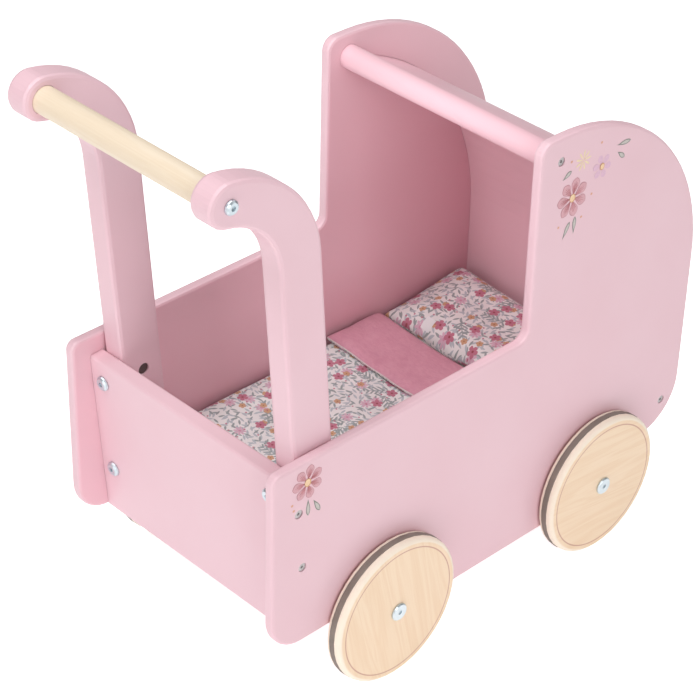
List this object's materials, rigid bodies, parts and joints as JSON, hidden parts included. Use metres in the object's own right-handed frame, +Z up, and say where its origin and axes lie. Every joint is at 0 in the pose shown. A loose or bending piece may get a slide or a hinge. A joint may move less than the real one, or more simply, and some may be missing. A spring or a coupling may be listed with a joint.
{
  "type": "doll stroller",
  "caption": "Painted wooden doll pram: low cradle, rounded hood, gooseneck handle posts with a round push bar, rubber-banded wooden wheels and loose bedding.",
  "frame": {"origin": "on the floor, under the centre of the bounding box", "axes": "+Z up; -Y the way it is pushed, hood first; +Y towards the handle; X the width, -X the pusher's right"},
  "size_m": [0.2806, 0.5207, 0.4979],
  "materials": {
    "pink_paint": "satin powder-pink paint on smooth board",
    "cream_wood": "natural pale birch dowel, clear satin",
    "birch": "natural birch, clear satin, fine vertical grain",
    "grey_rubber": "matt grey-brown rubber band",
    "bright_steel": "bright zinc plated",
    "white_nylon": "matt nylon",
    "floral_cotton": "off-white cotton printed with small raspberry, mustard, lilac and green flowers",
    "plain_cotton": "plain off-white cotton"
  },
  "bodies": {
    "frame": {"side_panel_left": "pink_paint", "handle_post_left": "pink_paint", "handle_screw_left": "bright_steel", "side_panel_right": "pink_paint", "handle_post_right": "pink_paint", "handle_screw_right": "bright_steel", "rear_panel": "pink_paint", "hood_dowel": "pink_paint", "front_dowel": "pink_paint", "hood_sheet": "pink_paint", "base_board": "pink_paint", "handle_bar": "cream_wood", "rear_bolt_left_upper": "bright_steel", "barrel_nut_left_upper": "bright_steel", "rear_bolt_left_lower": "bright_steel", "barrel_nut_left_lower": "bright_steel", "side_screw_left_rear_upper": "bright_steel", "side_screw_left_rear_lower": "bright_steel", "side_screw_left_hood": "bright_steel", "side_screw_left_front": "bright_steel", "rear_bolt_right_upper": "bright_steel", "barrel_nut_right_upper": "bright_steel", "rear_bolt_right_lower": "bright_steel", "barrel_nut_right_lower": "bright_steel", "side_screw_right_rear_upper": "bright_steel", "side_screw_right_rear_lower": "bright_steel", "side_screw_right_hood": "bright_steel", "side_screw_right_front": "bright_steel", "axle_rear": "bright_steel", "washer_rear_left": "white_nylon", "wheel_cap_rear_left": "bright_steel", "washer_rear_right": "white_nylon", "wheel_cap_rear_right": "bright_steel", "axle_front": "bright_steel", "washer_front_left": "white_nylon", "wheel_cap_front_left": "bright_steel", "washer_front_right": "white_nylon", "wheel_cap_front_right": "bright_steel"},
    "rear_left_wheel": {"wheel_rear_left": "birch", "tyre_rear_left": "grey_rubber"},
    "rear_right_wheel": {"wheel_rear_right": "birch", "tyre_rear_right": "grey_rubber"},
    "front_left_wheel": {"wheel_front_left": "birch", "tyre_front_left": "grey_rubber"},
    "front_right_wheel": {"wheel_front_right": "birch", "tyre_front_right": "grey_rubber"},
    "mattress": {"mattress": "plain_cotton"},
    "blanket": {"blanket": "floral_cotton"},
    "pillow": {"pillow": "floral_cotton"}
  },
  "joints": [
    {"name": "rear_left_wheel_spin", "type": "hinge", "parent": "frame", "child": "rear_left_wheel", "pos_m": [0.13095, 0.09491, 0.065], "axis": [1, 0, 0], "continuous": true},
    {"name": "rear_right_wheel_spin", "type": "hinge", "parent": "frame", "child": "rear_right_wheel", "pos_m": [-0.13095, 0.09491, 0.065], "axis": [1, 0, 0], "continuous": true},
    {"name": "front_left_wheel_spin", "type": "hinge", "parent": "frame", "child": "front_left_wheel", "pos_m": [0.13095, -0.14829, 0.065], "axis": [1, 0, 0], "continuous": true},
    {"name": "front_right_wheel_spin", "type": "hinge", "parent": "frame", "child": "front_right_wheel", "pos_m": [-0.13095, -0.14829, 0.065], "axis": [1, 0, 0], "continuous": true},
    {"name": "mattress_lift", "type": "slide", "parent": "frame", "child": "mattress", "axis": [0, 0, 1], "range_m": [0, 0.05]},
    {"name": "blanket_lift", "type": "slide", "parent": "mattress", "child": "blanket", "axis": [0, 0, 1], "range_m": [0, 0.19]},
    {"name": "pillow_lift", "type": "slide", "parent": "mattress", "child": "pillow", "axis": [0, 0, 1], "range_m": [0, 0.07]}
  ]
}
